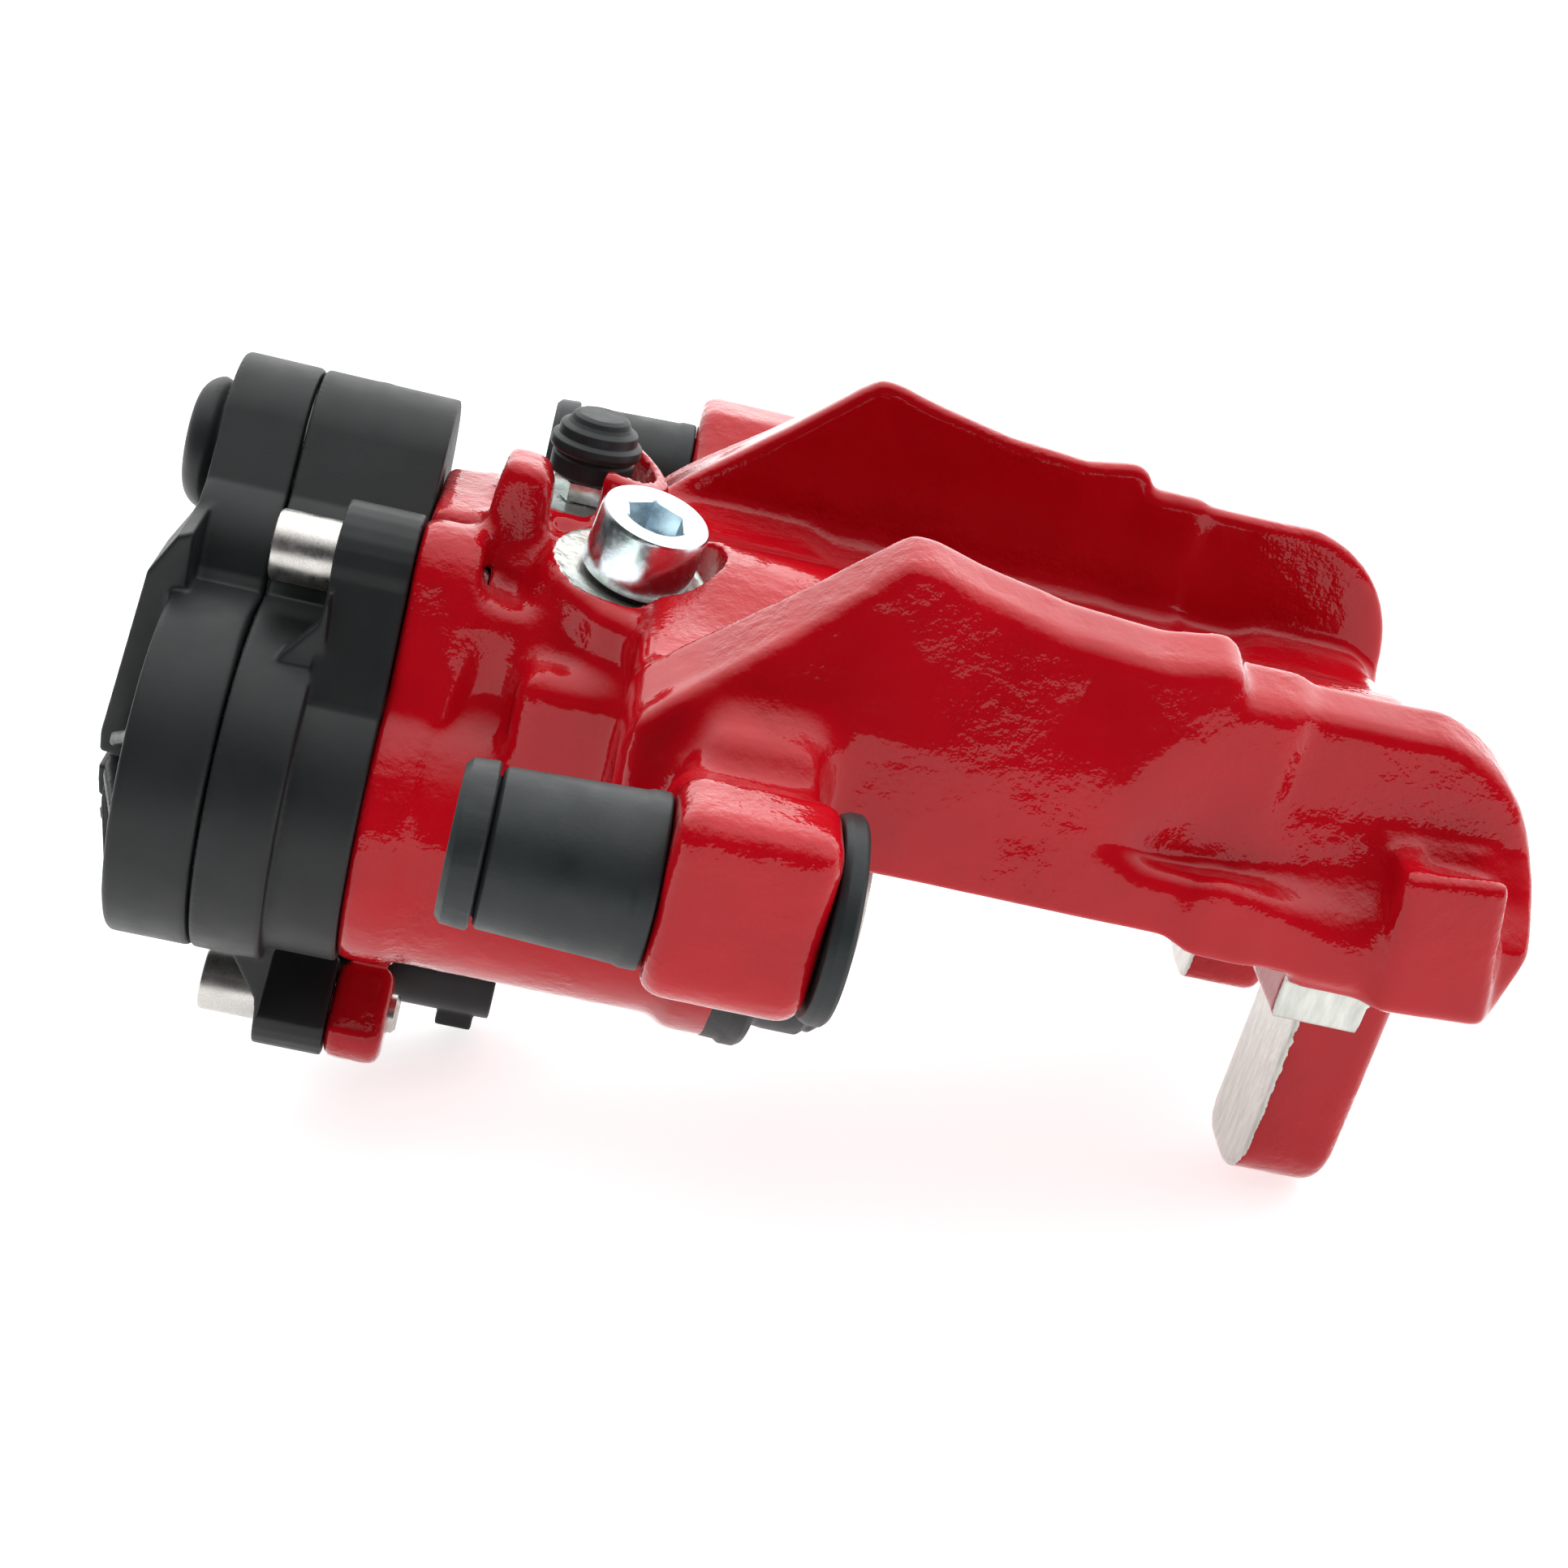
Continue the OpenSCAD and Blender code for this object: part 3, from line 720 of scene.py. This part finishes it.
def bare_distance(p):
    """How far each point is from bare machined metal, in millimetres."""
    x, y, z = p.T
    rel = p - PORT
    along = rel @ PORT_AXIS
    out = np.sqrt(np.maximum((rel ** 2).sum(1) - along ** 2, 0))
    spot = np.hypot(along, np.maximum(out - SPOT_R, 0))
    rel = p - BLEEDER
    recess = np.hypot(rel[:, 2], np.maximum(np.hypot(rel[:, 0], rel[:, 1]) - RECESS_R, 0))
    w = np.abs(y)
    face = np.hypot(x - FINGER_X, np.maximum(z - FACE_TOP, 0))
    pad = np.hypot(w - 50, np.maximum(np.abs(x - FINGER_X + 4) - 6, 0) + np.maximum(z - 27.6, 0))
    outside = (x < BORE_FLOOR) | (x > BARREL_END + 1)
    bore = np.abs(np.hypot(y, z) - BORE_R) + 10 * outside
    return np.minimum.reduce([spot, recess, face, pad, bore, np.full(len(p), PAINTED)])


def build_casting():
    obj, points = cast_body().mesh("cast_body")
    bare = obj.data.attributes.new("bare_mm", "FLOAT", "POINT")
    bare.data.foreach_set("value", bare_distance(points).astype(np.float32))
    finish_piece(obj, "red_paint", "casting", "caliper_body")


build_casting()

# ---- turned pieces ----


def rounded(points, radius, steps=4):
    """A polyline with its inner corners rounded to at most the given radius."""
    result = [points[0]]
    for before, corner, after in zip(points, points[1:], points[2:]):
        a = np.array(before, float) - corner
        b = np.array(after, float) - corner
        la, lb = np.linalg.norm(a), np.linalg.norm(b)
        a, b = a / la, b / lb
        angle = math.acos(max(-1, min(1, float(a @ b))))
        if angle > math.radians(172):
            result.append(tuple(corner))
            continue
        reach = min(radius / math.tan(angle / 2), la * 0.45, lb * 0.45)
        start, end = corner + a * reach, corner + b * reach
        for t in np.linspace(0, 1, steps + 1):
            point = (1 - t) ** 2 * start + 2 * t * (1 - t) * np.array(corner, float) + t * t * end
            result.append(tuple(point))
    return result + [points[-1]]


SHARP_EDGE = math.radians(32)


def place_mesh(name, verts, faces, start, axis):
    """Makes an object from a mesh in millimetres whose local Z lies along axis at start."""
    turn = Vector(axis).normalized().to_track_quat("Z", "Y").to_matrix()
    turn = np.array(turn)
    points = (np.array(verts) @ turn.T + start) * MM + [FACE_X, 0, 0]
    mesh = bpy.data.meshes.new(name)
    mesh.from_pydata(points.tolist(), [], faces)
    mesh.update()
    work = bmesh.new()
    work.from_mesh(mesh)
    bmesh.ops.remove_doubles(work, verts=work.verts, dist=1e-6)
    bmesh.ops.recalc_face_normals(work, faces=work.faces)
    for face in work.faces:
        face.smooth = True
    for edge in work.edges:
        edge.smooth = len(edge.link_faces) == 2 and edge.calc_face_angle(0) < SHARP_EDGE
    work.to_mesh(mesh)
    work.free()
    obj = bpy.data.objects.new(name, mesh)
    bpy.context.collection.objects.link(obj)
    return obj


def turned(name, profile, start, axis=(1, 0, 0), segments=112, wobble=None):
    """Turns a closed profile of (along, radius) points about an axis."""
    verts, faces = [], []
    count = len(profile)
    for i in range(segments):
        a = 2 * math.pi * i / segments
        for along, r in profile:
            r = max(r, 0.0)
            if wobble:
                r += wobble(along, a)
            verts.append((r * math.cos(a), r * math.sin(a), along))
    for i in range(segments):
        j = (i + 1) % segments
        for k in range(count - 1):
            quad = [i * count + k, j * count + k, j * count + k + 1, i * count + k + 1]
            if profile[k][1] < 1e-6:
                quad = [i * count + k, j * count + k + 1, i * count + k + 1]
            elif profile[k + 1][1] < 1e-6:
                quad = [i * count + k, j * count + k, i * count + k + 1]
            faces.append(quad)
    return place_mesh(name, verts, faces, start, axis)


def socket_screw(name, start, axis, head_r, head_h, socket, depth, shank_r, shank_l, chamfer=0.7):
    """A socket-head screw; start is under the head, and the socket opens along axis."""
    segments = 96
    verts, faces = [], []
    side = socket / math.sqrt(3)

    def hexagon(a):
        """Distance from the screw's axis to the socket's wall, in direction a."""
        step = math.radians(60)
        inside = (a + step / 2) % step - step / 2
        return side * math.cos(step / 2) / math.cos(abs(inside) - step / 2)

    rings = [
        lambda a: (0.0, -shank_l),
        lambda a: (shank_r - 0.6, -shank_l),
        lambda a: (shank_r, -shank_l + 0.6),
        lambda a: (shank_r, 0),
        lambda a: (head_r - 0.35, 0),
        lambda a: (head_r, 0.35),
        lambda a: (head_r, head_h - chamfer),
        lambda a: (head_r - chamfer * 0.35, head_h - chamfer * 0.3),
        lambda a: (head_r - chamfer, head_h),
        lambda a: (side + 0.75, head_h),
        lambda a: (side + 0.35, head_h - 0.15),
        lambda a: (hexagon(a), head_h - 0.65),
        lambda a: (hexagon(a), head_h - depth),
        lambda a: (0.0, head_h - depth - 0.9),
    ]
    for i in range(segments):
        a = 2 * math.pi * i / segments
        for ring in rings:
            r, h = ring(a)
            verts.append((r * math.cos(a), r * math.sin(a), h))
    count = len(rings)
    for i in range(segments):
        j = (i + 1) % segments
        for k in range(count - 1):
            faces.append([i * count + k, j * count + k, j * count + k + 1, i * count + k + 1])
    return place_mesh(name, verts, faces, start, axis)


# ---- rubber and steel pieces outside the casting ----


def build_guide(side, name):
    """A guide's rubber bush in its ear, and the cap on its outer end."""
    low, high = box_mm("guide_bush_" + name)
    start, end = low[0], high[0]
    ear = end - BUSH_END
    y = side * GUIDE_Y
    bore = GUIDE_R
    profile = rounded([
        (start, bore), (start, BUSH_NECK_R), (start + 2.2, BUSH_NECK_R), (start + 2.2, 9.0),
        (start + 2.7, 9.6), (ear - 3.2, 10.35), (ear - 2.4, 10.6), (ear - 0.15, 10.6),
        (ear - 0.15, 8.15), (end - 3.6, 8.15), (end - 3.6, 12.3), (end - 2.6, 12.78),
        (end - 1.1, 12.78), (end - 0.5, 12.2), (end - 0.5, 10.6), (end - 1.3, 9.8),
        (end - 1.3, 8.4), (end, 7.6), (end, bore + 0.6), (end - 0.6, bore), (start, bore)], 0.5)
    bush = turned("bush_" + name, profile, (0, y, GUIDE_Z))
    finish_piece(bush, "rubber", "casting", "guide_bush_" + name)
    low, high = box_mm("guide_cap_" + name)
    tip, rim = low[0], high[0]
    profile = rounded([
        (tip + 0.7, 0), (tip + 0.7, 6.4), (tip, 7.0), (tip, 9.0), (tip + 0.8, 9.8),
        (rim - 0.3, 10.0), (rim, 9.6), (rim, 8.36), (tip + 2.0, 8.36), (tip + 2.0, 0)], 0.35)
    cap = turned("cap_" + name, profile, (0, y, GUIDE_Z), wobble=torn_edge)
    finish_piece(cap, "rubber", "guide_cap_" + name, "guide_cap_" + name)


def torn_edge(along, angle):
    """Small irregular flash on the rim of a moulded rubber cap."""
    flash = 0.05 * math.sin(17 * angle) * math.sin(5 * angle + 1) + 0.03 * math.sin(41 * angle)
    return flash if 15.5 < along < 18 else 0.0


def build_boot():
    """The dust boot on the cylinder's open end."""
    r_in = 18.35
    profile = rounded([
        (54.5, BARREL_R + 0.05), (54.3, 24.4), (55.2, 25.0), (57.6, 25.1), (58.4, 25.6),
        (60.4, 25.6), (61.4, 25.0), (61.9, 22.9), (62.8, 21.9), (64.4, 22.1), (69.6, 22.1),
        (70.6, 21.2), (71.4, 21.4), (72.4, 20.6), (73, 19.4), (73, r_in), (66, r_in), (64, 20.4),
        (60, 20.4), (58.2, r_in), (58.2, BARREL_R), (54.5, BARREL_R + 0.05)], 0.6)
    boot = turned("boot", profile, (0, 0, 0), segments=144)
    finish_piece(boot, "rubber", "casting", "dust_boot")


CUP_R = 12
CUP_FLOOR = 6.9


def build_piston():
    """The piston, a cup open to the rear; its floor is CUP_FLOOR behind its tip."""
    low, high = box_mm("piston")
    r = (high[1] - low[1]) / 2
    back, tip = low[0], high[0]
    outside = [
        (back, CUP_R), (back, r - 1.2), (back + 1, r), (tip - 5.4, r), (tip - 4.8, r - 1.3),
        (tip - 2.6, r - 1.3), (tip - 2, r), (tip - 0.8, r), (tip, r - 0.9), (tip, 10.2),
        (tip - 0.6, 9.6), (tip - 2.2, 9.4), (tip - 2.4, 0)]
    cup = [(tip - CUP_FLOOR, 0), (tip - CUP_FLOOR, CUP_R), (back, CUP_R)]
    profile = rounded(outside, 0.4) + cup
    piston = turned("piston_body", profile, (0, 0, 0), segments=128)
    finish_piece(piston, "steel", "piston", "piston")


def build_port_plug():
    """The screw plug in the hose port."""
    low = PORT + PORT_AXIS * 0.8
    plug = socket_screw("plug", low, PORT_AXIS, 8.0, 10.0, 8.0, 5.0, 4.9, 10.5, 0.9)
    finish_piece(plug, "zinc", "port_plug", "port_plug")


def build_fixing_screws():
    """The two screws that hold the actuator; together they replace one CAD node."""
    low, high = box_mm("actuator_screws")
    shank = high[0] - low[0] - SCREW_HEAD_H
    for side, name in ((-1, "lower"), (1, "upper")):
        start = (low[0] + SCREW_HEAD_H, 0, side * SCREW_Z)
        screw = socket_screw(
            "fixing_screw_" + name, start, (-1, 0, 0), SCREW_HEAD_R, SCREW_HEAD_H, 5.0, 3.6,
            3.1, shank, 0.6)
        finish_piece(screw, "steel", "casting")
        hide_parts("actuator_screws")


def build_bleeder_cap():
    """The rubber cap over the bleeder's nipple; z0 is its rim above the spot face."""
    z0, bore = 3.55, 3.15
    outside = [
        (z0, bore), (z0, 5.8), (z0 + 0.5, 6.3), (z0 + 3.0, 6.3), (z0 + 3.5, 5.9), (z0 + 4.1, 6.8),
        (z0 + 4.7, 7.0), (z0 + 5.7, 6.9), (z0 + 6.2, 6.1), (z0 + 6.7, 6.0), (z0 + 7.6, 5.9),
        (z0 + 8.1, 5.0), (z0 + 8.6, 4.6), (z0 + 9.3, 4.3), (z0 + 9.7, 3.6), (z0 + 9.7, 0)]
    profile = rounded(outside, 0.35) + [(z0 + 8.45, 0), (z0 + 8.45, bore), (z0, bore)]
    cap = turned("bleeder_rubber", profile, BLEEDER, (0, 0, 1), segments=96)
    finish_piece(cap, "rubber", "bleeder_cap", "bleeder_cap")


for side, name in ((-1, "near"), (1, "far")):
    build_guide(side, name)
build_boot()
build_piston()
build_port_plug()
build_fixing_screws()
build_bleeder_cap()

# ---- plastic actuator ----

DRUM_R = 27.0  # round part of the case, over the drive gear
LOBE_R = 14.0  # round the motor
IDLER_R = 15.5  # bulge over the middle gear
SPLIT_X = -20.8  # seam between cover and housing
STEP_X = -10.5
COVER_X = -33.0
FLANGE_X = -10.8
WALL = 2.2
RIB_ANGLES = (150, 178, 205, 232, 262, 300, 340)
CONNECTOR = middle("connector_pins")


def case_shape(x0, x1, drum, inset, edge):
    """The case's outline: a round drum, a bulge and the motor's lobe joined by straight sides."""
    reach = math.hypot(MOTOR_Y, MOTOR_Z)
    c, s = MOTOR_Y / reach, MOTOR_Z / reach
    r = LOBE_R - inset

    def distance(x, y, z):
        along, aside = y * c + z * s, np.abs(z * c - y * s)
        lobe = np.hypot(along - np.clip(along, 0, reach), aside) - r
        bulge = np.hypot(y - IDLER_Y, z - IDLER_Z) - (IDLER_R - inset)
        flat = np.minimum(np.minimum(np.hypot(y, z) - drum, bulge), lobe)
        return round_max(flat, slab(x, x0, x1), edge)

    return (x0, -drum, -drum), (x1, MOTOR_Y + r, MOTOR_Z + r), distance


def build_cover():
    """The actuator's cover: a shell with a hub, seven ribs and the motor's dome."""
    cover = Solid((-44, -31, -31), (-17, 50, 58), 0.4)
    cover.add(case_shape(COVER_X, SPLIT_X - 0.15, DRUM_R, 0, 0.9), 0)
    cover.cut(case_shape(COVER_X + 2, 0, DRUM_R - WALL, WALL, 0.3), 0.3)
    hub = [
        (-31, 36), (-33.2, 35), (-36.8, 28.5), (-40.2, 2), (-39.6, -6), (-38.6, -12),
        (-34.4, -16), (-31, -17)]
    cover.add(plate_y(hub, -2, 12, 0.6), 0.8)
    for z in (-2.1, -9.3):
        cover.cut(block((-45, -3, z - 1.1), (-38.0, 14, z + 1.1), 0.3), 0.2)
    rib = [(-31.5, 6), (-37.8, 6), (-37.2, 11), (-32.6, 26), (-31.5, 26)]
    for angle in RIB_ANGLES:
        cover.add(turned_x(plate_radial(rib, 0.9), angle), 0.6)
    dome_y, dome_z = MOTOR_Y - 1.6, MOTOR_Z - 0.3
    cover.add(rod_x(10.4, -38.4, COVER_X + 1, dome_y, dome_z, 4.2), 0.8)
    cover.cut(ring_x(5.6, 6.2, -39.0, -38.0, dome_y, dome_z), 0.15)
    obj, _ = cover.mesh("actuator_lid")
    finish_piece(obj, "black_plastic", "casting", "actuator_cover")


def plate_radial(outline, half):
    """A rib in the X-radius plane; outline is (x, radius) points and half its half thickness."""

    def distance(x, y, z):
        return round_max(outline_distance(outline, x, y), np.abs(z) - half, 0.3)

    xs, rs = [p[0] for p in outline], [p[1] for p in outline]
    return (min(xs), min(rs), -half), (max(xs), max(rs), half), distance


def ring_x(r0, r1, x0, x1, y, z):
    """A square-edged ring round an axis parallel to X."""

    def distance(px, py, pz):
        around = np.sqrt((py - y) ** 2 + (pz - z) ** 2)
        return np.maximum(np.abs(around - (r0 + r1) / 2) - (r1 - r0) / 2, slab(px, x0, x1))

    return (x0, y - r1, z - r1), (x1, y + r1, z + r1), distance


def build_housing():
    """The actuator's housing, with the flange for its screws and the connector's collar."""
    case = Solid((-23, -31, -49), (27, 50, 58), 0.4)
    case.add(case_shape(SPLIT_X + 0.15, STEP_X, DRUM_R, 0, 0.5), 0)
    case.add(case_shape(STEP_X - 2, 0, DRUM_R - 2, 0, 0.4), 0.3)
    for side, widen in ((1, 15), (-1, 9)):
        case.add(plate_x(flange_outline(side, widen), FLANGE_X, 0, 0.4), 0.5)
    for side, reach in ((1, -16.8), (-1, -15.8)):
        gusset = [(-10, side * 36), (FLANGE_X, side * 31), (reach, side * 23), (-9, side * 22)]
        case.add(plate_y(gusset, -12.5, -9.3, 0.3), 0.4)
        case.add(plate_y(gusset, 9.3, 12.5, 0.3), 0.4)
    for side in (-1, 1):
        case.cut(rod_x(5.6, -21.5, FLANGE_X, 0, side * SCREW_Z, 0.2), 0.2)
        case.cut(rod_x(3.2, -12, 2, 0, side * SCREW_Z, 0.1), 0.2)
    case.cut(case_shape(SPLIT_X - 1, STEP_X - 0.5, DRUM_R - WALL, WALL, 0.3), 0.2)
    case.cut(case_shape(STEP_X - 1, -1.5, DRUM_R - 4.2, WALL, 0.3), 0.2)
    case.add(rod_x(14.7, -1, 3.9, edge=0.3), 0)
    case.cut(rod_x(12.4, -3, 20, edge=0.1), 0.2)
    y, z = CONNECTOR[1], CONNECTOR[2] + 3.2
    case.add(rod_x(7.8, -9, 24.4, y, z, 0.4), 0.3)
    case.add(block((-9, y - 7, z), (-1, y + 7, z + 26), 0.5), 0.8)
    case.add(block((16, y - 3, z - 10.4), (22, y + 3, z - 4), 0.4), 0.3)
    case.add(plate_y([(22, z - 6.5), (22, z - 9.2), (24.3, z - 6.5)], y - 0.8, y + 0.8, 0.2), 0.2)
    case.cut(rod_x(6, 8, 30, y, z, 0.2), 0.3)
    obj, _ = case.mesh("actuator_case")
    finish_piece(obj, "black_plastic", "casting", "actuator_housing")


build_cover()
build_housing()

# ---- the CAD pieces that stay as they are ----

REPLACED = {
    "caliper_body", "guide_bush_near", "guide_bush_far", "guide_cap_near", "guide_cap_far",
    "dust_boot", "piston", "port_plug", "actuator_screws", "bleeder_cap", "actuator_cover",
    "actuator_housing"}
for part in RECORD["subparts"]:
    if part["node"] not in REPLACED:
        mesh = frame["nodes"][part["node"]].data
        mesh.materials.clear()
        mesh.materials.append(PAINTS[part["material_slot"]])

# ---- light, floor and camera ----

UP = Vector((-0.2423, 0.0, 0.9702))  # the floor's normal; the part leans on it
FLOOR_DEPTH = 0.0514
FLOOR_HALF = 30
SKY_TOWARDS = (0.0, 0.5, 0.87)
CAMERA_AT = (0.0182 + FACE_X, -0.3121, 0.1597)
CAMERA_RIGHT = Vector((0.970, -0.0171, 0.2423))
CAMERA_FORWARD = Vector((0.1193, 0.9024, -0.4140))


def build_stage():
    """The pale floor, and a sky that is brighter above and behind the part."""
    mesh = bpy.data.meshes.new("floor")
    across = Vector((0, 1, 0))
    along = across.cross(UP)
    base = UP * -FLOOR_DEPTH + Vector((FACE_X, 0, 0))
    signs = ((-1, -1), (1, -1), (1, 1), (-1, 1))
    corners = [base + across * (a * FLOOR_HALF) + along * (b * FLOOR_HALF) for a, b in signs]
    mesh.from_pydata(corners, [], [(0, 1, 2, 3)])
    floor = bpy.data.objects.new("floor", mesh)
    bpy.context.collection.objects.link(floor)
    mesh.materials.append(floor_paper())
    world = bpy.data.worlds.new("studio")
    world.use_nodes = True
    tree = world.node_tree
    background = tree.nodes["Background"]
    coords = tree.nodes.new("ShaderNodeTexCoord")
    dot = tree.nodes.new("ShaderNodeVectorMath")
    dot.operation = "DOT_PRODUCT"
    dot.inputs[1].default_value = SKY_TOWARDS
    levels = tree.nodes.new("ShaderNodeMapRange")
    levels.interpolation_type = "SMOOTHSTEP"
    for name, value in (("From Min", 0.05), ("From Max", 0.9), ("To Min", 0.05), ("To Max", 2.5)):
        levels.inputs[name].default_value = value
    tree.links.new(coords.outputs["Generated"], dot.inputs[0])
    tree.links.new(dot.outputs["Value"], levels.inputs["Value"])
    tree.links.new(levels.outputs["Result"], background.inputs["Strength"])
    background.inputs["Color"].default_value = (1, 1, 1, 1)
    bpy.context.scene.world = world


def build_camera():
    """The photo's viewpoint, from the vanishing points of the part's straight edges."""
    camera = bpy.data.cameras.new("camera")
    camera.sensor_width = 36
    camera.lens = 53.05
    camera.clip_start = 0.01
    obj = bpy.data.objects.new("camera", camera)
    right, forward = CAMERA_RIGHT, CAMERA_FORWARD
    right = (right - forward * right.dot(forward) / forward.length_squared).normalized()
    forward = forward.normalized()
    up = right.cross(forward)
    turn = Matrix((right, up, -forward)).transposed().to_4x4()
    obj.matrix_world = Matrix.Translation(CAMERA_AT) @ turn
    bpy.context.collection.objects.link(obj)
    bpy.context.scene.camera = obj


build_stage()
build_camera()
bpy.context.scene.view_settings.view_transform = "Standard"
